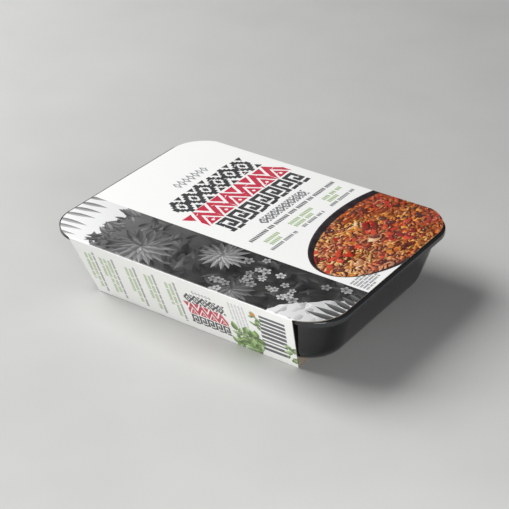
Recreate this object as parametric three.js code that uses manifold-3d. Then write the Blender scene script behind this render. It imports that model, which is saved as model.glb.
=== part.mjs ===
// A ready meal in its pack: a full, sealed black tray with a rim all round, slid into a printed
// sleeve that is folded from one sheet of board and is open at both short ends.
//
// Millimetres. +X runs along the pack, +Y across it and +Z up. The origin is under the middle of
// the pack, on the surface that it stands on.

import * as THREE from "three";
import { mergeVertices } from "three/addons/utils/BufferGeometryUtils.js";
import Module from "manifold-3d";

// The sleeve
const PACK_HEIGHT = 41.1; // from under the bottom panel to over the top panel
const BOARD = 0.5; // thickness of the folding boxboard
const TOP_LENGTH = 183; // top panel, end to end
const TOP_WIDTH = 142.1; // between the corners that its two folds round off
const TOP_CORNER_RADIUS = 23.5;
const FOLD_LENGTH = 146.4; // fold between the top panel and a side panel
const BOTTOM_LENGTH = 134.8; // fold between a side panel and the bottom panel
const BOTTOM_WIDTH = 109.3;
const FOLD_RADIUS = 0.7; // outside of each fold
const SEAM_EDGE_Y = 36; // the bottom panel's free edge, over the glued flap
const FLAP_EDGE_Y = 19; // the flap's free edge, inside the sleeve

// The tray
const FIT_GAP = 0.3; // between the tray and the board round it
const RIM_LENGTH = 187;
const RIM_WIDTH = 136.4;
const RIM_CORNER_RADIUS = 20.5;
const RIM_DROP = 3.4; // height of the rim's turned-down edge
const RIM_EDGE_RADIUS = 0.6;
const WALL_LENGTH = 182.6; // the walls' outside just under the rim
const WALL_WIDTH = 130.8;
const WALL_CORNER_RADIUS = 24;
const WALL_TAPER = THREE.MathUtils.degToRad(15.5); // from upright
const BASE_EDGE_RADIUS = 18; // between the walls and the flat base
const CORNER_TIGHTENING = 0.5; // how much a corner's radius shrinks for each mm that the wall draws in

// Steps along round stretches
const FOLD_STEPS = 4;
const TOP_CORNER_STEPS = 16;
const TRAY_CORNER_STEPS = 14;
const RIM_EDGE_STEPS = 3;
const BASE_EDGE_STEPS = 9;

const TRAY_FLOOR_Z = 2 * BOARD + FIT_GAP; // the base lies on the flap, which is the upper of two layers
const RIM_TOP_Z = PACK_HEIGHT - BOARD - FIT_GAP;
const RIM_UNDERSIDE_Z = RIM_TOP_Z - RIM_DROP;

const wasm = await Module();
wasm.setup();

function solidOf(geometry) {
  const bare = geometry.clone();
  bare.deleteAttribute("normal");
  bare.deleteAttribute("uv");
  const merged = mergeVertices(bare, 1e-4);
  const vertProperties = new Float32Array(merged.attributes.position.array);
  const triVerts = new Uint32Array(merged.index.array);
  return new wasm.Manifold(new wasm.Mesh({ numProp: 3, vertProperties, triVerts }));
}

function geometryOf(solid) {
  const mesh = solid.getMesh();
  const geometry = new THREE.BufferGeometry();
  geometry.setAttribute("position", new THREE.BufferAttribute(mesh.vertProperties, 3));
  geometry.setIndex(new THREE.BufferAttribute(mesh.triVerts, 1));
  geometry.computeVertexNormals();
  return geometry;
}

// An extrusion between two heights whose outline is given as [x, y] points.
function prism(outline, low, high) {
  const shape = new THREE.Shape(outline.map(([x, y]) => new THREE.Vector2(x, y)));
  const geometry = new THREE.ExtrudeGeometry(shape, { depth: high - low, bevelEnabled: false });
  return geometry.translate(0, 0, low);
}

// ---- Sleeve ----------------------------------------------------------------------------------

// Replaces a corner of a counter-clockwise outline by an arc that touches both of its sides.
function roundedCorner(before, corner, after, radius) {
  const incoming = before.clone().sub(corner).normalize();
  const outgoing = after.clone().sub(corner).normalize();
  const halfAngle = Math.acos(incoming.dot(outgoing)) / 2;
  const inward = incoming.clone().add(outgoing).normalize();
  const centre = corner.clone().addScaledVector(inward, radius / Math.sin(halfAngle));
  const start = corner.clone().addScaledVector(incoming, radius / Math.tan(halfAngle));
  const from = start.sub(centre);
  const turn = Math.sign(from.cross(inward.clone().negate())) * (Math.PI - 2 * halfAngle);
  return Array.from({ length: FOLD_STEPS + 1 }, (_, i) =>
    from.clone().rotateAround(new THREE.Vector2(), (turn * i) / FOLD_STEPS).add(centre)
  );
}

// The tube's section across the pack, as [y, z]: the four folds and the step where the bottom
// panel and the glued flap overlap. The inner outline is the outer one, moved in by the board.
function sectionOutline(inset, stepY, radius) {
  const slope = Math.atan2(PACK_HEIGHT, (TOP_WIDTH - BOTTOM_WIDTH) / 2);
  const sideInset = inset / Math.sin(slope);
  const lean = 1 / Math.tan(slope);
  const floorZ = inset;
  const flapZ = BOARD + inset;
  const topZ = PACK_HEIGHT - inset;
  const sideY = (z) => BOTTOM_WIDTH / 2 - sideInset + z * lean;
  const folds = [
    new THREE.Vector2(-sideY(floorZ), floorZ),
    new THREE.Vector2(sideY(flapZ), flapZ),
    new THREE.Vector2(sideY(topZ), topZ),
    new THREE.Vector2(-sideY(topZ), topZ),
  ];
  const step = [new THREE.Vector2(stepY, floorZ), new THREE.Vector2(stepY, flapZ)];
  return [
    ...roundedCorner(folds[3], folds[0], step[0], radius),
    ...step,
    ...roundedCorner(step[1], folds[1], folds[2], radius),
    ...roundedCorner(folds[1], folds[2], folds[3], radius),
    ...roundedCorner(folds[2], folds[3], folds[0], radius),
  ];
}

function sleeveTube() {
  const shape = new THREE.Shape(sectionOutline(0, SEAM_EDGE_Y, FOLD_RADIUS));
  shape.holes.push(new THREE.Path(sectionOutline(BOARD, FLAP_EDGE_Y, FOLD_RADIUS - BOARD)));
  const geometry = new THREE.ExtrudeGeometry(shape, { depth: TOP_LENGTH, bevelEnabled: false });
  geometry.translate(0, 0, -TOP_LENGTH / 2);
  // The section's y, z and the extrusion's depth become the pack's Y, Z and X.
  return geometry.applyMatrix4(new THREE.Matrix4().set(0, 0, 1, 0, 1, 0, 0, 0, 0, 1, 0, 0, 0, 0, 0, 1));
}

// The top panel's outline: each corner is an arc that starts at the fold's end and runs into the
// straight short end.
function topPanelOutline() {
  const centreX = TOP_LENGTH / 2 - TOP_CORNER_RADIUS;
  const startAngle = Math.acos((FOLD_LENGTH / 2 - centreX) / TOP_CORNER_RADIUS);
  const centreY = TOP_WIDTH / 2 - TOP_CORNER_RADIUS * Math.sin(startAngle);
  const corner = Array.from({ length: TOP_CORNER_STEPS + 1 }, (_, i) => {
    const angle = (startAngle * i) / TOP_CORNER_STEPS;
    return [centreX + TOP_CORNER_RADIUS * Math.cos(angle), centreY + TOP_CORNER_RADIUS * Math.sin(angle)];
  });
  const mirrored = corner.map(([x, y]) => [-x, y]).reverse();
  const farHalf = [...corner, ...mirrored];
  return [...farHalf, ...farHalf.map(([x, y]) => [-x, -y])];
}

// What the die leaves of the tube: the whole top panel, and the side and bottom panels between
// their slanted ends.
function sleeve() {
  const overshoot = 1;
  const topPanel = prism(topPanelOutline(), PACK_HEIGHT - BOARD, PACK_HEIGHT + overshoot);
  const sideEnds = prism(
    [
      [-BOTTOM_LENGTH / 2, 0],
      [BOTTOM_LENGTH / 2, 0],
      [FOLD_LENGTH / 2, PACK_HEIGHT],
      [-FOLD_LENGTH / 2, PACK_HEIGHT],
    ],
    -TOP_WIDTH / 2 - overshoot,
    TOP_WIDTH / 2 + overshoot
  ).rotateX(Math.PI / 2);
  const kept = solidOf(topPanel).add(solidOf(sideEnds));
  return geometryOf(solidOf(sleeveTube()).intersect(kept));
}

// ---- Tray ------------------------------------------------------------------------------------

// One level of the tray: a rectangle with round corners, counter-clockwise from above.
function trayRing({ length, width, radius, z }) {
  const points = [];
  for (let quarter = 0; quarter < 4; quarter += 1) {
    const signX = quarter === 0 || quarter === 3 ? 1 : -1;
    const signY = quarter < 2 ? 1 : -1;
    for (let i = 0; i <= TRAY_CORNER_STEPS; i += 1) {
      const angle = (Math.PI / 2) * (quarter + i / TRAY_CORNER_STEPS);
      const x = signX * (length / 2 - radius) + radius * Math.cos(angle);
      const y = signY * (width / 2 - radius) + radius * Math.sin(angle);
      points.push([x, y, z]);
    }
  }
  return points;
}

const rimLevel = (inset, z) => ({
  length: RIM_LENGTH - 2 * inset,
  width: RIM_WIDTH - 2 * inset,
  radius: RIM_CORNER_RADIUS - inset,
  z,
});

const wallLevel = (inset, z) => ({
  length: WALL_LENGTH - 2 * inset,
  width: WALL_WIDTH - 2 * inset,
  radius: WALL_CORNER_RADIUS - CORNER_TIGHTENING * inset,
  z,
});

// From the rim's top to the flat base: the rim with its small edge rounding, the ledge under it,
// the tapered wall and the large round into the base.
function trayLevels() {
  const levels = [];
  for (let i = 0; i <= RIM_EDGE_STEPS; i += 1) {
    const angle = ((Math.PI / 2) * i) / RIM_EDGE_STEPS;
    const inset = RIM_EDGE_RADIUS * (1 - Math.sin(angle));
    levels.push(rimLevel(inset, RIM_TOP_Z - RIM_EDGE_RADIUS * (1 - Math.cos(angle))));
  }
  levels.push(rimLevel(0, RIM_UNDERSIDE_Z));
  levels.push(wallLevel(0, RIM_UNDERSIDE_Z));

  const roundCentreZ = TRAY_FLOOR_Z + BASE_EDGE_RADIUS;
  const roundTopZ = roundCentreZ - BASE_EDGE_RADIUS * Math.sin(WALL_TAPER);
  const wallInset = (RIM_UNDERSIDE_Z - roundTopZ) * Math.tan(WALL_TAPER);
  const roundCentreInset = wallInset + BASE_EDGE_RADIUS * Math.cos(WALL_TAPER);
  for (let i = 0; i <= BASE_EDGE_STEPS; i += 1) {
    const angle = WALL_TAPER + ((Math.PI / 2 - WALL_TAPER) * i) / BASE_EDGE_STEPS;
    const inset = roundCentreInset - BASE_EDGE_RADIUS * Math.cos(angle);
    levels.push(wallLevel(inset, roundCentreZ - BASE_EDGE_RADIUS * Math.sin(angle)));
  }
  return levels;
}

// Joins rings of equal length, listed downwards, and closes the first and last with flat fans.
function loft(rings) {
  const count = rings[0].length;
  const positions = rings.flat(2);
  const index = [];
  for (let level = 0; level + 1 < rings.length; level += 1) {
    for (let i = 0; i < count; i += 1) {
      const next = (i + 1) % count;
      const [a, b] = [level * count + i, level * count + next];
      index.push(a, a + count, b, b, a + count, b + count);
    }
  }
  const centres = [rings[0], rings.at(-1)].map((ring) => {
    positions.push(0, 0, ring[0][2]);
    return positions.length / 3 - 1;
  });
  const last = (rings.length - 1) * count;
  for (let i = 0; i < count; i += 1) {
    const next = (i + 1) % count;
    index.push(centres[0], i, next);
    index.push(centres[1], last + next, last + i);
  }
  const geometry = new THREE.BufferGeometry();
  geometry.setAttribute("position", new THREE.Float32BufferAttribute(positions, 3));
  geometry.setIndex(index);
  geometry.computeVertexNormals();
  return geometry;
}

// ---- The pack --------------------------------------------------------------------------------

function named(name, geometry, material) {
  const mesh = new THREE.Mesh(geometry, new THREE.MeshStandardMaterial(material));
  mesh.name = name;
  return mesh;
}

const pack = new THREE.Group();
pack.add(named("tray", loft(trayLevels().map(trayRing)), { color: 0x0e0f11, roughness: 0.22, metalness: 0 }));
pack.add(named("sleeve", sleeve(), { color: 0xf3f3f1, roughness: 0.45, metalness: 0 }));

export default pack;
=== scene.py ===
"""A ready meal in its pack: a glossy black tray inside a printed board sleeve.

The sleeve is made the way a real one is. Its print is laid out on a flat blank, the blank is cut into
triangles along the edges of that print, and it is then folded round the tray. Lengths are millimetres until
a mesh is made, which is in metres.
"""

import math
import random
from collections import namedtuple

import bpy
import numpy as np
from mathutils import Matrix, Vector
from mathutils.geometry import delaunay_2d_cdt


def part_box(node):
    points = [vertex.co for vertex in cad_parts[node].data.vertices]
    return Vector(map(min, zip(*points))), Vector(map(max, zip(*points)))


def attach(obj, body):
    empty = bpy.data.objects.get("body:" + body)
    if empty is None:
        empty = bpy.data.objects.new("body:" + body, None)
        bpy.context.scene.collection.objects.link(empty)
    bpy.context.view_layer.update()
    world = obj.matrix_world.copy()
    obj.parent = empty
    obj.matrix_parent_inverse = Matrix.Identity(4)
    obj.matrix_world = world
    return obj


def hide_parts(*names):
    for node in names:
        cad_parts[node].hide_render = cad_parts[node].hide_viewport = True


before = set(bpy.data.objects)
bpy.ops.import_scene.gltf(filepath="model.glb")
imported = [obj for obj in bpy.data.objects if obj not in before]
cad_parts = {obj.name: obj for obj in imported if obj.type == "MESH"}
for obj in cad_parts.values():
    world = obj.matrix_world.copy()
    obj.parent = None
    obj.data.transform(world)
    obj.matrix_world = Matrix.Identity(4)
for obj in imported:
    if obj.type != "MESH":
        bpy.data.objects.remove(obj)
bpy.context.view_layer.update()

MM = 0.001
TAU = 2 * math.pi

# ---- Sizes, in mm ----


def node_size(node):
    low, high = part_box(node)
    return (high - low) / MM


TOP_LENGTH, _, PACK_HEIGHT = node_size("sleeve")
RIM_LENGTH, RIM_WIDTH, _ = node_size("tray")
TRAY_FLOOR_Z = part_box("tray")[0].z / MM
RIM_TOP_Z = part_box("tray")[1].z / MM

BOARD = 0.5
TOP_WIDTH = 142.1  # between the corners that the two upper folds round off
TOP_CORNER_RADIUS = 23.5
FOLD_LENGTH = 146.4
BOTTOM_LENGTH = 134.8
BOTTOM_WIDTH = 109.3
FOLD_RADIUS = 0.7
SEAM_EDGE_Y = 36
FLAP_EDGE_Y = 19
FLAP_TAPER = 3  # how much shorter the glued flap is at each end of its free edge
GLUE = 0.03

RIM_CORNER_RADIUS = 20.5
RIM_FLAT = 8  # width of the flat ring on the rim's top, round the middle that the sleeve hides
RIM_DROP = 3.4  # height of the rim's turned-down edge
RIM_EDGE_RADIUS = 0.7
RIM_PLASTIC = 0.9
RIM_GROOVE = 1.7  # from the rim's top to the ledge inside its turned-down edge
WALL_LENGTH = 182.6
WALL_WIDTH = 130.8
WALL_CORNER_RADIUS = 24
WALL_TAPER = math.radians(15.5)
BASE_EDGE_RADIUS = 18
CORNER_TIGHTENING = 0.5  # how much a corner's radius shrinks for each mm that the wall leans in
CORNER_STEPS = 26


# ---- Colours and shader nodes ----


def colour(text):
    """An sRGB hex colour as linear red, green, blue and alpha."""
    channels = [int(text[i : i + 2], 16) / 255 for i in (1, 3, 5)]
    return (*(c / 12.92 if c <= 0.04045 else ((c + 0.055) / 1.055) ** 2.4 for c in channels), 1.0)


def add(tree, kind, inputs=(), **settings):
    """Adds a node. The inputs pair a socket's name or number with a value, or with what feeds it."""
    node = tree.nodes.new(kind)
    for name, value in settings.items():
        setattr(node, name, value)
    for key, value in dict(inputs).items():
        if isinstance(value, bpy.types.NodeSocket):
            tree.links.new(value, node.inputs[key])
        else:
            node.inputs[key].default_value = value
    return node


def new_material(name):
    """An empty material, its node tree, and the Object coordinates for its patterns."""
    material = bpy.data.materials.new(name)
    material.use_nodes = True
    tree = material.node_tree
    tree.nodes.clear()
    return material, tree, add(tree, "ShaderNodeTexCoord").outputs["Object"]


def add_surface(tree, ior, tone, roughness, normal=None):
    """The shader, which takes values or what feeds them, and the tree's output."""
    inputs = {"IOR": ior, "Base Color": tone, "Roughness": roughness}
    if normal:
        inputs["Normal"] = normal
    shader = add(tree, "ShaderNodeBsdfPrincipled", inputs)
    add(tree, "ShaderNodeOutputMaterial", {"Surface": shader.outputs[0]})


def noise_on(tree, place, size_mm, detail):
    """Noise whose features are about this many mm across."""
    inputs = {"Vector": place, "Scale": 1 / (size_mm * MM), "Detail": detail}
    return add(tree, "ShaderNodeTexNoise", inputs).outputs[0]


def spread(tree, value, low, high):
    """Maps the middle of a noise's range, where nearly all of it lies, to run from low to high."""
    inputs = {"Value": value, "From Min": 0.3, "From Max": 0.7, "To Min": low, "To Max": high}
    return add(tree, "ShaderNodeMapRange", inputs).outputs[0]


def ramp_on(tree, value, low, low_colour, high, high_colour):
    """Turns a value into a colour: one up to low, the other from high on."""
    ramp = add(tree, "ShaderNodeValToRGB", {"Fac": value})
    for stop, position, tone in zip(ramp.color_ramp.elements, (low, high), (low_colour, high_colour)):
        stop.position = position
        stop.color = colour(tone)
    return ramp.outputs[0]


def bump_from(tree, height, depth_mm, strength, under=None):
    inputs = {"Height": height, "Distance": depth_mm * MM, "Strength": strength}
    if under:
        inputs["Normal"] = under
    return add(tree, "ShaderNodeBump", inputs).outputs[0]


# ---- Materials ----


def printed_boxboard():
    """Clay-coated folding boxboard, offset printed and sealed with a water-based varnish. It is smooth and
    satin, and very slightly uneven where fibres swell under the coating."""
    material, tree, place = new_material("printed coated boxboard")
    cloud = noise_on(tree, place, size_mm=9, detail=3.0)
    fibre = noise_on(tree, place, size_mm=0.9, detail=4.0)
    ink = add(tree, "ShaderNodeVertexColor", layer_name="ink").outputs["Color"]
    tones = {"Fac": spread(tree, cloud, 0.0, 0.04), "Color1": ink, "Color2": colour("#cfccc6")}
    tone = add(tree, "ShaderNodeMixRGB", tones).outputs[0]
    waves = bump_from(tree, cloud, depth_mm=0.02, strength=0.5)
    fibres = bump_from(tree, fibre, depth_mm=0.008, strength=0.35, under=waves)
    add_surface(tree, 1.5, tone, spread(tree, cloud, 0.34, 0.46), fibres)
    return material


def board_reverse():
    """The uncoated back of the board: pale brown fibre, matt and speckled. It is paler than such fibre is:
    painted light on the inside under the tray, where little lamp light reaches.
    """
    material, tree, place = new_material("uncoated board reverse")
    # Real fibre flecks are 0.2 mm wide. They are drawn at 0.7 mm so that they show.
    fleck = noise_on(tree, place, size_mm=0.7, detail=5.0)
    # These browns are paler than the fibre's own colour: painted light for the inside under the tray
    tone = ramp_on(tree, fleck, 0.32, "#cfbfa9", 0.62, "#e8dac5")
    add_surface(tree, 1.47, tone, 0.85, bump_from(tree, fleck, depth_mm=0.03, strength=0.6))
    return material


def board_cut_edge():
    """Where the die cut the board: the rough grey-brown fibre of its middle layers, drawn darker than that
    fibre is, so that the edge also carries painted shade.
    """
    material, tree, place = new_material("die-cut board edge")
    fibre = noise_on(tree, place, size_mm=0.5, detail=4.0)
    # These browns are darker than the cut fibre's own colour: painted shade along every cut edge
    tone = ramp_on(tree, fibre, 0.3, "#665f55", 0.7, "#857d72")
    add_surface(tree, 1.47, tone, 0.9, bump_from(tree, fibre, depth_mm=0.05, strength=0.6))
    return material


def black_cpet():
    """Crystallised polyester sheet, drawn hot into a mould: black all through. The walls are glossy, with the
    faint orange peel and long waves of drawn sheet. The rim isn't drawn and keeps the sheet's satin haze. It
    is
    also a lighter grey than the walls: painted sheen, for the light that its turned-down edge reflects."""
    material, tree, place = new_material("black CPET")
    height = add(tree, "ShaderNodeSeparateXYZ", {0: place}).outputs["Z"]
    # 0 on the walls and 1 on the rim, from the lower end of its turned-down edge up
    lip_z = (RIM_TOP_Z - RIM_DROP) * MM
    lip = {"Value": height, "From Min": lip_z - 0.2 * MM, "From Max": lip_z + 0.4 * MM}
    rim = add(tree, "ShaderNodeMapRange", lip).outputs[0]
    haze = noise_on(tree, place, size_mm=14, detail=4.0)
    peel = noise_on(tree, place, size_mm=1.6, detail=2.0)
    waves = noise_on(tree, place, size_mm=11, detail=1.0)
    # The rim's lighter grey is painted sheen, standing in for light reflected by the turned-down edge
    wall_tone, rim_painted_sheen = ramp_on(tree, haze, 0.3, "#08090a", 0.7, "#101113"), colour("#222325")
    tone = add(tree, "ShaderNodeMixRGB", {"Fac": rim, "Color1": wall_tone, "Color2": rim_painted_sheen})
    walls, rim_alone = spread(tree, haze, 0.04, 0.09), 0.22
    roughness = add(tree, "ShaderNodeMapRange", {"Value": rim, "To Min": walls, "To Max": rim_alone})
    drawn = bump_from(tree, waves, depth_mm=0.12, strength=0.5)
    peeled = bump_from(tree, peel, depth_mm=0.012, strength=0.5, under=drawn)
    add_surface(tree, 1.57, tone.outputs[0], roughness.outputs[0], peeled)
    return material


def studio_paper():
    """Seamless matt background paper."""
    material, tree, place = new_material("seamless studio paper")
    cloud = noise_on(tree, place, size_mm=60, detail=2.0)
    add_surface(tree, 1.45, ramp_on(tree, cloud, 0.2, "#bdbdbb", 0.8, "#c3c3c1"), 0.9)
    return material


# ---- The blank: the sleeve laid flat ----


class Section:
    """The sleeve's outside across the pack, as a path of straight panels and round folds. A point on it is
    given by s, the length of board from the flap's free edge."""

    def __init__(self, corners, radius, fold_steps):
        self.radius = radius
        self.parts, self.creases, self.folds = [], [], []
        at, s = corners[0], 0.0
        for before, corner, after in zip(corners, corners[1:], corners[2:]):
            way_in, way_out = (corner - before).normalized(), (after - corner).normalized()
            turn = -way_in.angle_signed(way_out)
            reach = radius * math.tan(turn / 2)
            start = corner - way_in * reach
            s = self.add_panel(s, at, start)
            centre = start + Vector((-way_in.y, way_in.x)) * radius
            length = radius * turn
            self.parts.append(("fold", s, s + length, centre, (start - centre) / radius))
            self.creases += [s + length * i / fold_steps for i in range(fold_steps + 1)]
            self.folds.append(s + length / 2)
            s += length
            at = corner + way_out * reach
        self.end = self.add_panel(s, at, corners[-1])

    def add_panel(self, s, start, end):
        length = (end - start).length
        self.parts.append(("panel", s, s + length, start, (end - start).normalized()))
        return s + length

    def at(self, s):
        """The point (y, z) on the outside, and the direction out of the board there."""
        kind, low, _, origin, way = next((p for p in self.parts if s <= p[2]), self.parts[-1])
        if kind == "panel":
            return origin + way * (s - low), Vector((way.y, -way.x))
        out = Matrix.Rotation((s - low) / self.radius, 2) @ way
        return origin + out * self.radius, out


def sleeve_section():
    """From the glued flap's free edge up the back, over the top, down the front and along the bottom, to
    the edge that covers the flap."""
    lean = (TOP_WIDTH - BOTTOM_WIDTH) / 2 / PACK_HEIGHT
    flap_z = BOARD + GLUE
    corners = [
        (FLAP_EDGE_Y, flap_z),
        (BOTTOM_WIDTH / 2 + flap_z * lean, flap_z),
        (TOP_WIDTH / 2, PACK_HEIGHT),
        (-TOP_WIDTH / 2, PACK_HEIGHT),
        (-BOTTOM_WIDTH / 2, 0),
        (SEAM_EDGE_Y, 0),
    ]
    return Section([Vector(c) for c in corners], FOLD_RADIUS, fold_steps=6)


SECTION = sleeve_section()
FLAP_FOLD, BACK_FOLD, FRONT_FOLD, BASE_FOLD = SECTION.folds
TOP_MIDDLE = (BACK_FOLD + FRONT_FOLD) / 2


def blank_outline():
    """The die line, as (x, s) points, counter-clockwise."""
    centre_x = TOP_LENGTH / 2 - TOP_CORNER_RADIUS
    reach = math.acos((FOLD_LENGTH / 2 - centre_x) / TOP_CORNER_RADIUS)
    rise = TOP_CORNER_RADIUS * math.sin(reach)
    steps = 28
    arc = []
    for i in range(steps + 1):
        angle = reach * (1 - i / steps)
        x = centre_x + TOP_CORNER_RADIUS * math.cos(angle)
        arc.append((x, BACK_FOLD + rise - TOP_CORNER_RADIUS * math.sin(angle)))
    far_arc = [(x, BACK_FOLD + FRONT_FOLD - s) for x, s in reversed(arc)]
    right = [
        (BOTTOM_LENGTH / 2 - FLAP_TAPER, 0.0),
        (BOTTOM_LENGTH / 2, FLAP_FOLD),
        *arc,
        *far_arc,
        (BOTTOM_LENGTH / 2, BASE_FOLD),
        (BOTTOM_LENGTH / 2, SECTION.end),
    ]
    return right + [(-x, s) for x, s in reversed(right)]


# A panel is the blank between two folds. It has its own (u, v): u runs to the reader's right and v down.
Panel = namedtuple("Panel", "first last to_blank")
TOP = Panel(BACK_FOLD, FRONT_FOLD, lambda u, v: (v, TOP_MIDDLE - u))
FRONT = Panel(FRONT_FOLD, BASE_FOLD, lambda u, v: (u, FRONT_FOLD + v))
BACK = Panel(FLAP_FOLD, BACK_FOLD, lambda u, v: (-u, BACK_FOLD - v))
BASE = Panel(BASE_FOLD, SECTION.end, lambda u, v: (u, BASE_FOLD + v))
WHOLE = Panel(0.0, SECTION.end, lambda x, s: (x, s))

Fade = namedtuple("Fade", "ink spot other_ink other_spot")  # an ink that turns into another one
Field = namedtuple("Field", "shape panel within fade")


class Artwork:
    """The fields of ink on the blank, in the order in which they are printed."""

    def __init__(self):
        self.fields = []
        self.lay(WHOLE, rectangle(-TOP_LENGTH, 0, TOP_LENGTH, SECTION.end), PAPER)

    def lay(self, panel, points, ink, within=None):
        """Prints a closed shape, given in the panel's (u, v). The ink is a hex colour or a fade. Within is
        the number of an earlier field that it is kept inside. Returns the new field's number."""
        ink, spot, other_ink, other_spot = ink if isinstance(ink, Fade) else Fade(ink, (0, 0), ink, (1, 0))
        fade = Fade(colour(ink), panel.to_blank(*spot), colour(other_ink), panel.to_blank(*other_spot))
        self.fields.append(Field([panel.to_blank(*p) for p in points], panel, within, fade))
        return len(self.fields) - 1

    def inks_at(self, corners, owners):
        """The ink at the three corners of each triangle, from the field that owns the triangle."""
        columns = zip(*(field.fade for field in self.fields))
        first, spots, other, other_spots = (np.array(column) for column in columns)
        ways = other_spots - spots
        ways /= (ways**2).sum(axis=1, keepdims=True)
        shares = ((corners - spots[owners, None]) * ways[owners, None]).sum(axis=2, keepdims=True)
        return first[owners, None] + (other - first)[owners, None] * shares.clip(0, 1)


# ---- Shapes for the print, as lists of (u, v) ----


def rectangle(u0, v0, u1, v1):
    return [(u0, v0), (u1, v0), (u1, v1), (u0, v1)]


def placed(shape, u, v, turn=0.0, scale=1.0):
    """A shape that is drawn about (0, 0), turned and then moved to (u, v)."""
    cos, sin = math.cos(turn) * scale, math.sin(turn) * scale
    return [(u + a * cos - b * sin, v + a * sin + b * cos) for a, b in shape]


def ellipse(u, v, half_u, half_v, steps, turn=0.0):
    angles = [TAU * i / steps for i in range(steps)]
    return placed([(half_u * math.cos(a), half_v * math.sin(a)) for a in angles], u, v, turn)


def blob(draw, u, v, size, stretch, uneven=0.25, steps=8):
    """An uneven round patch, stretched along u."""
    shape = []
    for i in range(steps):
        reach = size * (1 + uneven * draw.uniform(-1, 1))
        shape.append((reach * stretch * math.cos(TAU * i / steps), reach * math.sin(TAU * i / steps)))
    return placed(shape, u, v)


MITRE_LIMIT = 0.35  # keeps a ribbon's sharp corners from running out into spikes


def ribbon(line, width):
    """A band of this width along a bent line, with mitred corners."""
    line = [Vector(p) for p in line]
    one_side, other_side = [], []
    for i, point in enumerate(line):
        before = (point - line[i - 1]).normalized() if i else None
        after = (line[i + 1] - point).normalized() if i + 1 < len(line) else None
        way = (before or after) + (after or before)
        across = Vector((-way.y, way.x)).normalized()
        square = Vector((-(after or before).y, (after or before).x))
        reach = width / 2 / max(across.dot(square), MITRE_LIMIT)
        one_side.append(tuple(point + across * reach))
        other_side.append(tuple(point - across * reach))
    return one_side + other_side[::-1]


LEAF_STEPS = 6
LEAF_FULLNESS = 0.8  # below 1, a leaf is widest before its middle


def leaf_halves(u, v, turn, length, width, curl):
    """The two halves of a leaf that grows from (u, v), on either side of its midrib."""
    rib, left, right = [], [], []
    for i in range(LEAF_STEPS + 1):
        t = i / LEAF_STEPS
        half = width / 2 * math.sin(math.pi * t**LEAF_FULLNESS)
        bend = curl * length * t * t
        rib.append((length * t, bend))
        left.append((length * t, bend + half))
        right.append((length * t, bend - half))
    one, other = rib + left[-2:0:-1], rib + right[-2:0:-1]
    return placed(one, u, v, turn), placed(other, u, v, turn)


def roughened(draw, shape, step, depth):
    """The same outline with the slight unevenness of a hand-cut one."""
    made = []
    for a, b in zip(shape, shape[1:] + shape[:1]):
        count = max(1, round(math.dist(a, b) / step))
        for i in range(count):
            u = a[0] + (b[0] - a[0]) * i / count + draw.uniform(-depth, depth)
            v = a[1] + (b[1] - a[1]) * i / count + draw.uniform(-depth, depth)
            made.append((u, v))
    return made


# ---- Inks and rows of dashes ----

PAPER = "#f7f7f5"
DARK_GREY = "#3c3d3f"
RED = "#c8304a"
DASH_GREY = "#77797b"
RULE_GREY = "#a3a6a6"
DASH_GREEN = "#a3bb86"
ORNAMENT_GREY = "#8d8f91"
STRIPE_GREY = "#5c5e63"
LEAF_GREENS = ("#95b86c", "#a6c582", "#bcd5a0", "#84a65c")


def grey(share):
    """A neutral hex colour, from black at 0 to white at 1."""
    level = round(255 * min(1.0, max(0.0, share)))
    return f"#{level:02x}{level:02x}{level:02x}"


def shaded(ink, light):
    """The same hex colour, this many times as light."""
    levels = (min(255, round(int(ink[i : i + 2], 16) * light)) for i in (1, 3, 5))
    return "#" + "".join(f"{level:02x}" for level in levels)


def blended(ink, other, share):
    """A hex colour this share of the way from one to another."""
    pairs = ((int(ink[i : i + 2], 16), int(other[i : i + 2], 16)) for i in (1, 3, 5))
    return "#" + "".join(f"{round(a + (b - a) * share):02x}" for a, b in pairs)


DASH_PITCH = 0.62  # from one dash to the next, for each mm of their height
DASH_SHARE = 0.7  # of the pitch that a dash fills, and that is skipped between groups


def dashed_line(art, draw, panel, u, v, length, height, ink, turn=0.0):
    """One line of plain upright dashes, in groups of uneven length."""
    pitch = height * DASH_PITCH
    at = 0.0
    while at < length - pitch:
        for _ in range(draw.randint(3, 10)):
            if at > length - pitch:
                break
            dash = rectangle(at, 0, at + pitch * DASH_SHARE, height)
            art.lay(panel, placed(dash, u, v, turn), ink)
            at += pitch
        at += pitch * DASH_SHARE


def dashed_block(art, draw, panel, u, v, length, lines, height, ink, spacing, turn=0.0):
    """Lines of dashes one below another, so many heights apart. The last one is short."""
    for i in range(lines):
        (at,) = placed([(0, i * height * spacing)], u, v, turn)
        short = draw.uniform(0.5, 0.8) if i == lines - 1 else draw.uniform(0.9, 1.0)
        dashed_line(art, draw, panel, *at, length * short, height, ink, turn)


# ---- Bold ornament in rows ----


def stepped_diamond(u, v, half_u, half_v, steps):
    """A lozenge with stairs for sides, as in old weaving."""
    stair = []
    for i in range(steps):
        stair.append((half_u * (1 - i / steps), half_v * i / steps))
        stair.append((half_u * (1 - i / steps), half_v * (i + 1) / steps))
    shape = []
    for sign_u, sign_v in ((1, 1), (-1, 1), (-1, -1), (1, -1)):
        corner = stair if sign_u == sign_v else stair[::-1]
        shape += [(u + sign_u * a, v + sign_v * b) for a, b in corner]
    return shape


def lozenge_motif(width, height):
    middle_u, middle_v = width / 2, height / 2
    outer = stepped_diamond(middle_u, middle_v, width * 0.54, height * 0.5, 4)
    ring = stepped_diamond(middle_u, middle_v, width * 0.25, height * 0.24, 3)
    heart = stepped_diamond(middle_u, middle_v, width * 0.13, height * 0.13, 2)
    above = [(width * 0.78, 0), (width * 1.22, 0), (width, height * 0.24)]
    below = [(a, height - b) for a, b in above]
    return [(outer, False), (ring, True), (heart, False), (above, False), (below, False)]


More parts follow.
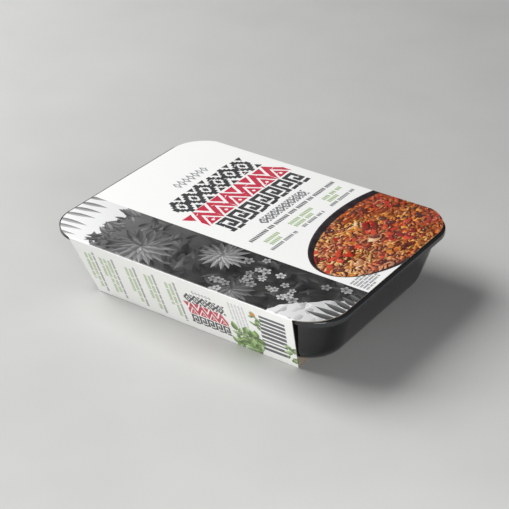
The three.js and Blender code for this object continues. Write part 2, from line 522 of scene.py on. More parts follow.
def zigzag_motif(width, height):
    line = [(0, height * 0.86), (width / 2, height * 0.14), (width, height * 0.86)]
    band = [(a, b + shift) for shift in (-0.2 * height, 0.2 * height) for a, b in line]
    band = band[:3] + band[:2:-1]
    tooth = [(width * 0.16, height), (width / 2, height * 0.5), (width * 0.84, height)]
    upper = [(-width * 0.3, 0), (width * 0.3, 0), (0, height * 0.44)]
    dot = ellipse(width / 2, height * 0.84, width * 0.08, width * 0.08, 8)
    return [(band, False), (tooth, False), (upper, False), (dot, True)]


def fret_motif(width, height):
    """A stair that ends in a square hook."""
    w, h = width, height
    line = [(-0.05 * w, 0.88 * h), (0.2 * w, 0.88 * h), (0.2 * w, 0.11 * h), (0.84 * w, 0.11 * h)]
    line += [(0.84 * w, 0.66 * h), (0.52 * w, 0.66 * h), (0.52 * w, 0.38 * h)]
    foot = rectangle(0.42 * w, 0.85 * h, 0.94 * w, 1.02 * h)
    return [(ribbon(line, 0.24 * w), False), (foot, False)]


def ornament_row(art, draw, panel, u, v, length, height, count, motif, ink, unevenness=1.0):
    """A row of one motif, a little uneven, as if cut by hand. Its middle bows up a little. The motif gives
    its shapes, each with whether it is left in the paper's white."""
    width = length / count
    for i in range(count):
        rise = height * 0.06 * math.sin(math.pi * (i + 0.5) / count)
        lift = draw.uniform(-0.03, 0.03) * height * unevenness - rise
        turn = draw.uniform(-0.05, 0.05) * unevenness
        for shape, is_paper in motif(width, height):
            cut = roughened(draw, shape, step=height / 9, depth=height / 110)
            middle = [(a - width / 2, b - height / 2) for a, b in cut]
            spot = (u + width * (i + 0.5), v + height / 2 + lift)
            art.lay(panel, placed(middle, *spot, turn), PAPER if is_paper else ink)
    for _ in range(count * 3):
        nick = ellipse(0, 0, height * draw.uniform(0.05, 0.13), height * 0.014, 6, draw.uniform(-0.5, 0.5))
        spot = (u + draw.uniform(0, length), v + draw.uniform(0.1, 0.9) * height)
        art.lay(panel, placed(nick, *spot), PAPER)


def lozenge_line(art, draw, panel, u, v, length, height, count, ink):
    """A light row of open lozenges and dots."""
    pitch = length / count
    for i in range(count):
        middle = u + pitch * (i + 0.5)
        half = height / 2 * draw.uniform(0.85, 1.1)
        outer = [(-pitch * 0.42, 0), (0, -half), (pitch * 0.42, 0), (0, half)]
        art.lay(panel, placed(outer, middle, v), ink)
        art.lay(panel, placed(outer, middle, v, scale=0.5), PAPER)
        art.lay(panel, ellipse(middle + pitch / 2, v, pitch * 0.1, pitch * 0.1, 6), ink)


# ---- The grey garden picture ----


def leaf(art, panel, u, v, turn, length, width, ink, within, curl, base_light=0.55):
    """A leaf that is darker at its base, and on one side of its midrib."""
    (tip,) = placed([(length, curl * length)], u, v, turn)
    for half, light in zip(leaf_halves(u, v, turn, length, width, curl), (1.15, 0.88)):
        fade = Fade(shaded(ink, light * base_light), (u, v), shaded(ink, light), tip)
        art.lay(panel, half, fade, within)


AGAVE_RINGS = ((17, 1.0), (14, 0.8), (11, 0.6), (8, 0.42), (5, 0.26))  # how many leaves, and their reach


def agave(art, draw, panel, u, v, size, tone, within):
    """A rosette of pointed leaves, from the outer ring to the heart."""
    for ring, (count, reach) in enumerate(AGAVE_RINGS):
        for i in range(count):
            turn = TAU * (i + ring * 0.5 + draw.uniform(-0.15, 0.15)) / count
            length = size * reach * draw.uniform(0.9, 1.08)
            lit = tone + 0.04 * ring + 0.1 * math.cos(turn - 2.3) + draw.uniform(-0.03, 0.03)
            leaf(art, panel, u, v, turn, length, size * 0.24 * reach**0.5, grey(lit), within, 0.06)


def blossom(art, draw, panel, u, v, size, tone, within):
    """Five round petals about a dark eye."""
    first = draw.uniform(0, TAU)
    for i in range(5):
        turn = first + TAU * i / 5
        middle, tip = placed([(size * 0.58, 0), (size, 0)], u, v, turn)
        petal = ellipse(*middle, size * 0.46, size * 0.34, 12, turn)
        art.lay(panel, petal, Fade(grey(tone * 0.5), (u, v), grey(tone), tip), within)
    art.lay(panel, ellipse(u, v, size * 0.18, size * 0.18, 8), grey(0.16), within)


GARDEN = (-72.5, -92.5, -27.0, 92.5)  # u and v of its upper left corner, then of its lower right one
LEAF_WIDTH = 0.36  # of its length


def grey_garden(art):
    """A generic grey picture along one long side of the top: rosettes, leaves and blossoms under a sky."""
    draw = random.Random(11)
    left, top, right, bottom = GARDEN
    sky = Fade(grey(0.98), (left, top), grey(0.86), (right, -50))
    picture = art.lay(TOP, rectangle(*GARDEN), sky)
    # Long leaves in the distance, pale with haze
    for i in range(7):
        turn, tone = math.pi / 2 - 0.35 + draw.uniform(-0.12, 0.12), grey(0.68 - 0.02 * i)
        leaf(art, TOP, left + 7 * i, top - 2, turn, 24 - i, 3.4, tone, picture, curl=0.12, base_light=0.9)
    # A hedge that darkens downwards. Its upper edge is leafy.
    hedge_top, edge_steps = -62, 29
    edge = []
    for i in range(edge_steps + 1):
        u = left + (right - left) * i / edge_steps
        edge.append((u, hedge_top + 3 * math.sin(u / 6) + 1.5 * math.sin(u / 2.3)))
    hedge = Fade(grey(0.42), (left, hedge_top), grey(0.13), (left, 16))
    art.lay(TOP, [(right, bottom), (left, bottom), *edge], hedge, picture)
    for _ in range(46):
        u, turn = draw.uniform(left, right), -math.pi / 2 + draw.uniform(-0.9, 0.9)
        length, tone = draw.uniform(6, 11), draw.uniform(0.36, 0.6)
        v = hedge_top + draw.uniform(2, 9)
        leaf(art, TOP, u, v, turn, length, length * LEAF_WIDTH, grey(tone), picture, 0.08)
    # Loose leaves all over the hedge, darker below
    leaves_top = -52
    for _ in range(230):
        u, v = draw.uniform(left, right), draw.uniform(leaves_top, 88)
        depth = min(1.0, max(0.0, (v - leaves_top) / 70))
        tone = draw.uniform(0.2, 0.56) * (1 - 0.35 * depth)
        length = draw.uniform(6, 13)
        leaf(art, TOP, u, v, draw.uniform(0, TAU), length, length * LEAF_WIDTH, grey(tone), picture, 0.1)
    for u, v, size, tone in ((-56, -34, 21, 0.42), (-39, 8, 15, 0.5), (-64, 31, 14, 0.34)):
        agave(art, draw, TOP, u, v, size, tone, picture)
    for _ in range(40):
        u, v = draw.uniform(left, right), draw.uniform(16, 86)
        blossom(art, draw, TOP, u, v, draw.uniform(1.8, 3.4), draw.uniform(0.56, 0.86), picture)
    # A pale path with pebbles along the picture's lower left corner
    verge = [(left, 57), (-63, 60), (-56, 67), (-51, 73), (-45, 79), (-41, 86), (-38, bottom)]
    ground = roughened(draw, [*verge, (left, bottom)], step=3, depth=0.5)
    path = art.lay(TOP, ground, Fade(grey(0.9), (-70, 62), grey(0.74), (-44, 90)), picture)
    for _ in range(60):
        u, v = draw.uniform(left, -38), draw.uniform(56, bottom)
        size, tone = draw.uniform(0.8, 2.2), draw.uniform(0.72, 0.94)
        fade = Fade(grey(tone + 0.06), (u, v - size), grey(tone - 0.12), (u, v + size))
        art.lay(TOP, blob(draw, u, v, size, 1.4, uneven=0.15, steps=9), fade, path)
    # A fan of long leaves that comes in over the path
    for i in range(6):
        leaf(art, TOP, -58 + 4 * i, 94, -1.75 + 0.1 * i, 20 - 2 * i, 4, grey(0.4), picture, 0.1)


# ---- The printed dish ----

DISH = (37.9, 63.7, 62.3, 31.8)  # middle u and v, half its width and half its height
FOOD = (37.2, 65.0, 60.6, 28.2)  # the same for what is in it
DISH_STEPS = 96
DISH_SLANT = 0.66  # the dish is seen at a slant, which shortens what lies in it
DEEP_SHADOW = "#4a160a"
SAUCE = "#7c2c10"
CREAM = "#ecd2b0"
SAUCES = ("#8f3512", "#a04018", "#64200b", "#ad4e1c", "#4a1a09")
RICE = (
    ("#d8913a", "#cc822c", "#dfa050", "#be7022"),  # golden
    ("#d2722e", "#c46422", "#da8a46", "#b25018"),  # orange
    ("#bb4c24", "#c66030", "#9e3616", "#d07844"),  # red
)
PEPPERS = ("#b82c1a", "#a01f18", "#c6432a", "#8a1a18")
YELLOW_PEPPERS = ("#d4882c", "#dc9844", "#c27224")
BEANS = ("#4a1f18", "#38140f", "#5b2a20")
MEATS = ("#cfa07a", "#b8845e", "#dcb894")
HERBS = ("#6f7038", "#80824a", "#5a5c26")
PEPPER_SHINE = "#dc8a68"
BEAN_SHINE = "#a88478"
MEAT_SHINE = "#f0d6ba"
OIL_GLINT = "#f5dcbc"


def in_dish(draw):
    """A random place in the food, even over its area."""
    away, turn = math.sqrt(draw.random()), draw.uniform(0, TAU)
    return FOOD[0] + FOOD[2] * away * math.cos(turn), FOOD[1] + FOOD[3] * away * math.sin(turn)


def grouped(draw, groups, size):
    """Places in the food that lie in groups."""
    middles = [in_dish(draw) for _ in range(groups)]
    return [(u + draw.gauss(0, 4.5), v + draw.gauss(0, 2.6)) for u, v in middles for _ in range(size)]


def rice_tones(u, v):
    """The rice is golden, orange or red in soft patches, and redder to the right."""
    wave = math.sin(u / 8.5 + 1.6 * math.sin(v / 6)) + math.sin(v / 4.6 - u / 13 + 2) + (u - FOOD[0]) / 80
    return RICE[0 if wave < -0.4 else 1 if wave < 0.75 else 2]


def serve(art, food, shape, u, v, turn, ink):
    """Prints a flat shape in the food, turned as it lies there and then seen at the dish's slant."""
    art.lay(TOP, [(u + a, v + b * DISH_SLANT) for a, b in placed(shape, 0, 0, turn)], ink, food)


def lit(ink, u, v, reach, light=1.15, sauce=0.6):
    """A fade from a lighter ink, on the side of the light behind the dish and to its left, to one with this
    share of the sauce in it."""
    way_u, way_v = reach * 0.4, reach * DISH_SLANT
    dark = blended(ink, SAUCE, sauce)
    return Fade(shaded(ink, light), (u - way_u, v - way_v), dark, (u + way_u, v + way_v))


def rice(art, draw, food, count, light):
    """Long-grain rice. At the picture's scale a grain is about 5 mm long and 1.8 mm thick."""
    for _ in range(count):
        u, v = in_dish(draw)
        turn, half, thick = draw.uniform(0, TAU), draw.uniform(2.1, 2.9), draw.uniform(0.8, 1.0)
        if draw.random() < 0.5:
            shadow = ellipse(0, 0, half * 1.05, thick * 1.3, 6)
            serve(art, food, shadow, u + 0.5, v + 0.5, turn, DEEP_SHADOW)
        # The picture is paler to the left and deeper in colour to the right.
        pale = 0.58 - 0.0085 * (u - FOOD[0] + FOOD[2]) + draw.uniform(-0.1, 0.1)
        tone = blended(draw.choice(rice_tones(u, v)), CREAM if pale > 0 else SAUCE, abs(pale))
        ink = shaded(tone, light * draw.uniform(0.85, 1.08))
        serve(art, food, ellipse(0, 0, half, thick, 8), u, v, turn, lit(ink, u, v, thick))


def pepper(art, draw, food, u, v, tones):
    """A strip of sweet pepper."""
    turn, length, width = draw.uniform(0, TAU), draw.uniform(4, 11), draw.uniform(2.6, 3.8)
    bend = draw.uniform(-0.25, 0.25)
    line = [(-length / 2, 0), (-length / 5, length * bend), (length / 5, length * bend), (length / 2, 0)]
    strip = ribbon(line, width)
    serve(art, food, strip, u + 0.7, v + 0.8, turn, DEEP_SHADOW)
    serve(art, food, strip, u, v, turn, lit(draw.choice(tones), u, v, width * 0.6, sauce=0.4))
    if draw.random() < 0.35:
        shine = ribbon([(a * 0.4, b - width * 0.15) for a, b in line], width * 0.2)
        serve(art, food, shine, u, v, turn, PEPPER_SHINE)


def lump(art, draw, food, u, v, tones, size, stretch, shine):
    """A bean or a piece of meat, with a glint of this colour on it."""
    turn = draw.uniform(0, TAU)
    shape = blob(draw, 0, 0, size, stretch, uneven=0.1, steps=10)
    serve(art, food, [(a * 1.1, b * 1.1) for a, b in shape], u + 0.5, v + 0.7, turn, DEEP_SHADOW)
    serve(art, food, shape, u, v, turn, lit(draw.choice(tones), u, v, size, light=1.3, sauce=0.5))
    glint = ellipse(u - size * 0.2, v - size * 0.3, size * 0.35, size * 0.16, 7, 0.2)
    art.lay(TOP, glint, shine, food)


def beans(art, draw, food, groups, size):
    for spot in grouped(draw, groups, size):
        lump(art, draw, food, *spot, BEANS, draw.uniform(1.9, 2.5), 1.5, BEAN_SHINE)


def peppers(art, draw, food, groups, size, tones):
    for spot in grouped(draw, groups, size):
        pepper(art, draw, food, *spot, tones)


def printed_dish(art):
    """A generic dark dish of rice with peppers and beans, cut off by the fold and the panel's end."""
    draw = random.Random(5)
    u, v, half_u, half_v = DISH
    art.lay(TOP, ellipse(*DISH, DISH_STEPS), "#2c2028")
    inner_side = Fade("#0e080b", (-20, 60), "#1c1218", (30, 34))
    art.lay(TOP, ellipse(u, v, half_u - 0.8, half_v - 1.1, DISH_STEPS), inner_side)
    food = art.lay(TOP, ellipse(*FOOD, DISH_STEPS), "#7c2e12")
    for _ in range(110):
        patch = blob(draw, 0, 0, draw.uniform(2.5, 6), 1.5)
        serve(art, food, patch, *in_dish(draw), draw.uniform(0, TAU), draw.choice(SAUCES))
    # Rice below, then what is mixed into it, then the rice and the pieces that lie on top
    rice(art, draw, food, count=1000, light=0.82)
    for spot in grouped(draw, 9, 2):
        lump(art, draw, food, *spot, MEATS, draw.uniform(2.6, 4.0), 1.4, MEAT_SHINE)
    peppers(art, draw, food, 20, 4, PEPPERS)
    peppers(art, draw, food, 9, 3, YELLOW_PEPPERS)
    beans(art, draw, food, 14, 2)
    rice(art, draw, food, count=560, light=1.05)
    peppers(art, draw, food, 14, 2, PEPPERS)
    beans(art, draw, food, 9, 1)
    for _ in range(26):
        herb = blob(draw, 0, 0, draw.uniform(0.5, 1.0), 1.8, uneven=0.3, steps=6)
        serve(art, food, herb, *in_dish(draw), draw.uniform(0, TAU), draw.choice(HERBS))
    for _ in range(70):
        glint = ellipse(*in_dish(draw), draw.uniform(0.3, 0.6), draw.uniform(0.2, 0.3), 6)
        art.lay(TOP, glint, OIL_GLINT, food)


# ---- The print, panel by panel ----


def top_print(art):
    draw = random.Random(3)
    grey_garden(art)
    lozenge_line(art, draw, TOP, 8, -59.7, 30, 8.5, 7, ORNAMENT_GREY)
    ornament_row(art, draw, TOP, -14.5, -51, 72.5, 17, 6, lozenge_motif, DARK_GREY)
    ornament_row(art, draw, TOP, -17, -33, 81.6, 16.4, 6, zigzag_motif, RED)
    ornament_row(art, draw, TOP, -14.5, -15.6, 77, 14.6, 7, fret_motif, DARK_GREY)
    ornament_row(art, draw, TOP, 2, 1.8, 44, 6.6, 8, lozenge_motif, DASH_GREY)
    dashed_line(art, draw, TOP, -19, 10.7, 85.5, 2.7, "#5c5e60")
    for first, length in ((-14.5, 14.5), (9.6, 27), (44.3, 20.3)):
        dashed_block(art, draw, TOP, first, 17.4, length, 2, 2.7, DASH_GREEN, spacing=1.4)
    for first, length in ((-19.3, 26), (11.6, 22), (40.5, 26)):
        dashed_line(art, draw, TOP, first, 25.3, length, 2.3, DASH_GREY)
    dashed_block(art, draw, TOP, -25, 79, 17.5, 6, 1.3, "#74777b", spacing=1.5)
    printed_dish(art)


def sprig(art, draw, panel, u, v, spread_u, spread_v, count, size):
    """Green leaves at random, up to this far from (u, v)."""
    for _ in range(count):
        at = (u + draw.uniform(-1, 1) * spread_u, v + draw.uniform(-1, 1) * spread_v)
        turn, length = draw.uniform(0, TAU), size * draw.uniform(0.7, 1.2)
        leaf(art, panel, *at, turn, length, length * 0.55, draw.choice(LEAF_GREENS), None, 0.1)


def stripes(art, draw, panel, u, v, width, height, shift=0.0):
    """Plain dark stripes of uneven thickness, one below another. The shift moves each one sideways by this
    share of the way down to it."""
    at = 0.0
    while at < height - 2:
        thick = draw.choice((1.3, 1.9, 2.5))
        start = u + shift * at
        art.lay(panel, rectangle(start, v + at, start + width, v + at + thick), STRIPE_GREY)
        at += thick + draw.choice((1.2, 1.6, 2.0))


def small_ornament(art, draw, panel, u, v, width):
    """The top's ornament again, small."""
    lozenge_line(art, draw, panel, u + width * 0.25, v + 1.5, width * 0.5, 2.8, 6, ORNAMENT_GREY)
    ornament_row(art, draw, panel, u, v + 4.5, width, 7.5, 5, lozenge_motif, DARK_GREY, 0.6)
    ornament_row(art, draw, panel, u, v + 12.5, width, 9.5, 4, zigzag_motif, RED, 0.6)
    ornament_row(art, draw, panel, u, v + 22.6, width, 7.6, 5, fret_motif, DARK_GREY, 0.6)


def front_print(art):
    draw = random.Random(7)
    upright = math.pi / 2
    for right_edge, lines in ((-61, 2), (-47.5, 3), (-32.5, 2), (-19.5, 2), (-5.5, 2)):
        dashed_block(art, draw, FRONT, right_edge, 9, 31, lines, 2.0, DASH_GREEN, 1.5, upright)
        dashed_line(art, draw, FRONT, right_edge + 2.6, 6.5, 34, 1.5, DASH_GREY, upright)
    small_ornament(art, draw, FRONT, 1.0, 7.5, 26)
    dashed_block(art, draw, FRONT, 41.5, 5.5, 22, 5, 1.1, "#c2c5c6", 2.0, upright)
    sprig(art, draw, FRONT, 39, 36, 8.5, 7, 44, 7)
    sprig(art, draw, FRONT, 47.5, 13, 2.6, 5, 12, 4.5)
    # A small orange bloom among the leaves
    art.lay(FRONT, blob(draw, 47, 8.5, 1.5, 1.3), "#d98a45")
    # The stripes follow the panel's slanted end.
    end_slant = (BOTTOM_LENGTH - FOLD_LENGTH) / 2 / (BASE_FOLD - FRONT_FOLD)
    stripes(art, draw, FRONT, 51, 7, 16, 31, end_slant)
    sprig(art, draw, FRONT, 66, 34, 2.0, 7, 14, 5)


def back_print(art):
    draw = random.Random(13)
    dashed_block(art, draw, BACK, -64, 6, 36, 12, 1.4, DASH_GREY, spacing=2.0)
    # A plain table with three columns
    for i in range(10):
        rule = 6.0 + 3.3 * i
        art.lay(BACK, rectangle(-23, rule, 13, rule + 0.25), RULE_GREY)
        if i < 9:
            for first, length in ((-22, 14), (-5, 6), (6, 5)):
                dashed_line(art, draw, BACK, first, rule + 1.0, length, 1.4, DASH_GREY)
    small_ornament(art, draw, BACK, 18, 5, 26)
    dashed_block(art, draw, BACK, 48, 8, 17, 6, 1.5, DASH_GREEN, spacing=2.0)
    sprig(art, draw, BACK, 56, 34, 7, 6, 26, 6)


def base_print(art):
    draw = random.Random(17)
    for column in range(3):
        first = -60 + 42 * column
        art.lay(BASE, rectangle(first, 9, first + 30, 11.2), DASH_GREEN)
        dashed_block(art, draw, BASE, first, 14, 36, 9, 1.8, DASH_GREY, spacing=2.1)
    # Four rings with a lozenge in each
    for i in range(4):
        u = -52 + 14 * i
        art.lay(BASE, ellipse(u, 62, 4.4, 4.4, 28), DASH_GREY)
        art.lay(BASE, ellipse(u, 62, 3.7, 3.7, 28), PAPER)
        art.lay(BASE, placed(stepped_diamond(0, 0, 2, 2, 3), u, 62), DASH_GREY)
    stripes(art, draw, BASE, 30, 52, 28, 22)
    sprig(art, draw, BASE, 12, 66, 8, 7, 30, 7)


# ---- Cutting and folding the blank ----

PRINT_WELD = 1e-4  # mm. Points of the print that are closer than this become one.
REVERSE_WELD = 1e-5
ON_CREASE = 1e-3  # mm. A point this close to a crease counts as lying on it.


def inside(spots, shape):
    """Which of the spots lie in a closed shape."""
    x, y = spots[:, :1], spots[:, 1:]
    ends = np.array(shape)
    starts = np.roll(ends, 1, axis=0)
    spans = (starts[:, 1] > y) != (ends[:, 1] > y)
    rise = ends[:, 1] - starts[:, 1]
    rise[rise == 0] = 1.0
    crossing = starts[:, 0] + (ends[:, 0] - starts[:, 0]) * (y - starts[:, 1]) / rise
    return (spans & (x < crossing)).sum(axis=1) % 2 == 1


def fields_at(spots, art):
    """The number of the last field that each spot of the blank lies in."""
    order = np.argsort(spots[:, 0])
    ordered = spots[order]
    masks = {field.within: np.zeros(len(spots), bool) for field in art.fields}
    shown = np.zeros(len(spots), int)
    for number, (shape, panel, within, _) in enumerate(art.fields):
        (left, low), (right, high) = np.min(shape, axis=0), np.max(shape, axis=0)
        low, high = max(low, panel.first), min(high, panel.last)
        first, last = np.searchsorted(ordered[:, 0], (left, right))
        near = first + np.flatnonzero((ordered[first:last, 1] > low) & (ordered[first:last, 1] < high))
        hit = order[near[inside(ordered[near], shape)]]
        if within is not None:
            hit = hit[masks[within][hit]]
        shown[hit] = number
        if number in masks:
            masks[number][hit] = True
    return shown


def cut_along(points, edges, art):
    """Cuts the blank into triangles along these edges and the creases. Returns its points (x, s), its
    triangles and the number of the field that shows on each."""
    points, edges = list(points), list(edges)
    for s in SECTION.creases:
        edges.append((len(points), len(points) + 1))
        points += [(-TOP_LENGTH, s), (TOP_LENGTH, s)]
    found = delaunay_2d_cdt([Vector(p) for p in points], edges, [], 0, PRINT_WELD, False)
    places, triangles = np.array(found[0]), np.array(found[2])
    triangles = triangles[inside(places[triangles].mean(axis=1), blank_outline())]
    used, renumbered = np.unique(triangles, return_inverse=True)
    places, triangles = places[used], renumbered.reshape(-1, 3)
    return places, triangles, fields_at(places[triangles].mean(axis=1), art)


def edges_that_show(triangles, shown):
    """The edges round the blank, and those with a different field on each side, as pairs of points."""
    sides = np.sort(triangles[:, [0, 1, 1, 2, 2, 0]].reshape(-1, 2), axis=1)
    shown = np.repeat(shown, 3)
    order = np.lexsort(sides.T)
    sides, shown = sides[order], shown[order]
    inner = (sides[1:] == sides[:-1]).all(axis=1) & (shown[1:] == shown[:-1])
    hidden = np.append(inner, False) | np.insert(inner, 0, False)
    return np.unique(sides[~hidden], axis=0)


def cut_blank(art):
    """Cuts the blank along the die line and the edges of every field of ink, and then once more along only
    those edges that no later field covers."""
    points, edges = [], []
    for shape in [blank_outline()] + [field.shape for field in art.fields]:
        first, count = len(points), len(shape)
        points += shape
        edges += [(first + i, first + (i + 1) % count) for i in range(count)]
    places, triangles, shown = cut_along(points, edges, art)
    used, ends = np.unique(edges_that_show(triangles, shown), return_inverse=True)
    return cut_along(places[used], ends.reshape(-1, 2).tolist(), art)


def rim_of(triangles):
    """The loop of points round a flat sheet of triangles, counter-clockwise."""
    ways = {way for a, b, c in triangles.tolist() for way in ((a, b), (b, c), (c, a))}
    following = {a: b for a, b in ways if (b, a) not in ways}
    loop = [min(following)]
    while following[loop[-1]] != loop[0]:
        loop.append(following[loop[-1]])
    return loop


def reverse_skin(loop_points):
    """The triangles of the board's plain back, between the points round the blank alone."""
    count = len(loop_points)
    edges = [(i, (i + 1) % count) for i in range(count)]
    for s in SECTION.creases:
        ends = np.flatnonzero(abs(loop_points[:, 1] - s) < ON_CREASE)
        edges.append((int(ends[0]), int(ends[-1])))
    found = delaunay_2d_cdt([Vector(p) for p in loop_points], edges, [], 0, REVERSE_WELD, True)
    triangles, origins = np.array(found[2]), np.array([origin[0] for origin in found[3]])
    triangles = origins[triangles]
    return triangles[inside(loop_points[triangles].mean(axis=1), loop_points)]


def folded(point, depth):
    """Where a point of the blank goes, this deep in the board."""
    x, s = point
    (y, z), (out_y, out_z) = SECTION.at(s)
    return x * MM, (y - out_y * depth) * MM, (z - out_z * depth) * MM


def mesh_object(name, vertices, faces, materials, face_materials=None):
    """A piece from its vertices and faces, with the number of each face's material where it has several."""
    mesh = bpy.data.meshes.new(name)
    mesh.from_pydata(vertices, [], faces)
    for material in materials:
        mesh.materials.append(material)
    if face_materials:
        mesh.polygons.foreach_set("material_index", face_materials)
    thing = bpy.data.objects.new(name, mesh)
    bpy.context.scene.collection.objects.link(thing)
    return thing


def printed_sleeve():
    """The folded board: its printed front, its plain back, and its cut edge all round."""
    art = Artwork()
    top_print(art)
    front_print(art)
    back_print(art)
    base_print(art)
    points, triangles, shown = cut_blank(art)
    loop = rim_of(triangles)
    vertices = [folded(p, 0) for p in points] + [folded(points[i], BOARD) for i in loop]

    first = len(points)
    front = triangles[:, ::-1].tolist()
    back = (first + reverse_skin(points[loop])).tolist()
    edges = []
    for i, start in enumerate(loop):
        j = (i + 1) % len(loop)
        edges.append((start, loop[j], first + j, first + i))
    groups = (front, back, edges)
    face_materials = [number for number, group in enumerate(groups) for _ in group]
    materials = [printed_boxboard(), board_reverse(), board_cut_edge()]
    sleeve = mesh_object("printed_sleeve", vertices, front + back + edges, materials, face_materials)

    inks = np.tile(colour(PAPER), (len(sleeve.data.loops), 1))
    inks[: 3 * len(triangles)] = art.inks_at(points[triangles[:, ::-1]], shown).reshape(-1, 4)
    layer = sleeve.data.color_attributes.new("ink", "FLOAT_COLOR", "CORNER")
    layer.data.foreach_set("color", inks.ravel())
    return sleeve


# ---- The tray ----


def round_rectangle(length, width, radius, z):
    """A level of the tray, counter-clockwise from above."""
    ring = []
    for quarter, (sign_x, sign_y) in enumerate(((1, 1), (-1, 1), (-1, -1), (1, -1))):
        for i in range(CORNER_STEPS + 1):
            angle = math.pi / 2 * (quarter + i / CORNER_STEPS)
            x = sign_x * (length / 2 - radius) + radius * math.cos(angle)
            y = sign_y * (width / 2 - radius) + radius * math.sin(angle)
            ring.append((x * MM, y * MM, z * MM))
    return ring


def rim_level(inset, z):
    """A level of the rim, this far inside its edge."""
    return round_rectangle(RIM_LENGTH - 2 * inset, RIM_WIDTH - 2 * inset, RIM_CORNER_RADIUS - inset, z)


def wall_level(inset, z):
    """A level of the wall, this far inside the outline that it has at the foot of the rim."""
    radius = WALL_CORNER_RADIUS - CORNER_TIGHTENING * inset
    return round_rectangle(WALL_LENGTH - 2 * inset, WALL_WIDTH - 2 * inset, radius, z)


def angle_steps(first, last, steps):
    return [first + (last - first) * i / steps for i in range(steps + 1)]


def tray_levels():
    """From the middle of the rim's top, over its turned-down edge, into the groove behind that and down the
    tapered wall to the flat base."""
    levels = [rim_level(RIM_FLAT, RIM_TOP_Z)]
    for angle in angle_steps(0, math.pi / 2, 5):
        inset = RIM_EDGE_RADIUS * (1 - math.sin(angle))
        levels.append(rim_level(inset, RIM_TOP_Z - RIM_EDGE_RADIUS * (1 - math.cos(angle))))
    lip_z, lip_half = RIM_TOP_Z - RIM_DROP, RIM_PLASTIC / 2
    for angle in angle_steps(0, math.pi, 6):
        z = lip_z + lip_half * (1 - math.sin(angle))
        levels.append(rim_level(lip_half * (1 - math.cos(angle)), z))
    ledge_z = RIM_TOP_Z - RIM_GROOVE
    levels.append(rim_level(RIM_PLASTIC, ledge_z))

    round_centre_z = TRAY_FLOOR_Z + BASE_EDGE_RADIUS
    round_top_z = round_centre_z - BASE_EDGE_RADIUS * math.sin(WALL_TAPER)
    wall_inset = (lip_z - round_top_z) * math.tan(WALL_TAPER)
    levels.append(wall_level(-(ledge_z - lip_z) * math.tan(WALL_TAPER), ledge_z))
    round_centre_inset = wall_inset + BASE_EDGE_RADIUS * math.cos(WALL_TAPER)
    for angle in angle_steps(WALL_TAPER, math.pi / 2, 16):
        inset = round_centre_inset - BASE_EDGE_RADIUS * math.cos(angle)
        levels.append(wall_level(inset, round_centre_z - BASE_EDGE_RADIUS * math.sin(angle)))
    return levels


SHARP_ANGLE = math.radians(32)  # faces that meet at less than this are shaded as one surface


def meal_tray():
    """The filled, shut tray as one closed form: its levels joined, with a flat face at each end."""
    levels = tray_levels()
    count = len(levels[0])
    vertices = [point for ring in levels for point in ring]
    faces = [tuple(range(count))]
    for level in range(len(levels) - 1):
        for i in range(count):
            a, b = level * count + i, level * count + (i + 1) % count
            faces.append((a, a + count, b + count, b))
    faces.append(tuple(range(len(vertices) - 1, len(vertices) - 1 - count, -1)))
    tray = mesh_object("meal_tray", vertices, faces, [black_cpet()])
    tray.data.shade_smooth()
    tray.data.set_sharp_from_angle(angle=SHARP_ANGLE)
    return tray


# ---- Studio ----

PHOTO_SIZE = 509  # pixels a side
FOCAL_PIXELS = 1503.5
VIEW_TURN = math.radians(34.6)
VIEW_RISE = math.radians(30.68)
VIEW_DISTANCE = 838.0
VIEW_SHIFT = (-1.39, 18.29)  # how far right and up of the picture's middle the top's middle lies
SENSOR = 36.0
FLOOR_REACH = 6.0  # metres from the pack to each side of the floor
FLOOR_Z = -0.0001  # just under the sleeve, so that their faces don't share a plane
STUDIO_GREY = "#4a4b4d"  # the dim light that comes from all round


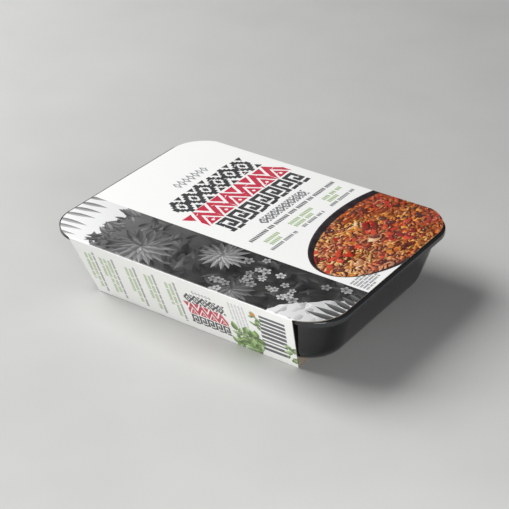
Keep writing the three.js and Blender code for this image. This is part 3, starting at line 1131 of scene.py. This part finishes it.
def direction(turn, rise):
    """Away from the pack, turned from its long side and raised by these angles."""
    return Vector((math.sin(turn) * math.cos(rise), -math.cos(turn) * math.cos(rise), math.sin(rise)))


def add_camera():
    """The camera fitted to the pack's edges in the photograph."""
    back = direction(VIEW_TURN, VIEW_RISE)
    right = Vector((math.cos(VIEW_TURN), math.sin(VIEW_TURN), 0))
    up = back.cross(right)
    data = bpy.data.cameras.new("view")
    data.sensor_width = SENSOR
    data.lens = SENSOR * FOCAL_PIXELS / PHOTO_SIZE
    camera = bpy.data.objects.new("view", data)
    place = Vector((0, 0, PACK_HEIGHT)) + back * VIEW_DISTANCE - right * VIEW_SHIFT[0] - up * VIEW_SHIFT[1]
    rotation = Matrix((right, up, back)).transposed().to_4x4()
    camera.matrix_world = Matrix.Translation(place * MM) @ rotation
    bpy.context.scene.collection.objects.link(camera)
    bpy.context.scene.camera = camera


def add_softbox(name, turn, rise, distance, size, power):
    """A square light that looks at the pack from this direction, in degrees."""
    way = direction(math.radians(turn), math.radians(rise))
    data = bpy.data.lights.new(name, "AREA")
    data.shape = "SQUARE"
    data.size = size
    data.energy = power
    light = bpy.data.objects.new(name, data)
    light.location = way * distance
    light.rotation_euler = way.to_track_quat("Z", "Y").to_euler()
    bpy.context.scene.collection.objects.link(light)


def add_studio():
    corners = [(x * FLOOR_REACH, y * FLOOR_REACH, FLOOR_Z) for x, y in rectangle(-1, -1, 1, 1)]
    floor = mesh_object("floor", corners, [(0, 1, 2, 3)], [studio_paper()])
    world = bpy.data.worlds.new("studio")
    world.use_nodes = True
    world.node_tree.nodes["Background"].inputs["Color"].default_value = colour(STUDIO_GREY)
    bpy.context.scene.world = world
    add_softbox("key", turn=285, rise=46, distance=1.3, size=0.9, power=23)
    add_softbox("fill", turn=46, rise=14, distance=0.6, size=0.25, power=2.35)
    bpy.context.scene.view_settings.view_transform = "Standard"


# ---- The pack ----


def stand_in(piece, node):
    """Puts a finished piece where its plain CAD node was."""
    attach(piece, "root")
    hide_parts(node)


add_camera()
add_studio()
stand_in(printed_sleeve(), "sleeve")
stand_in(meal_tray(), "tray")
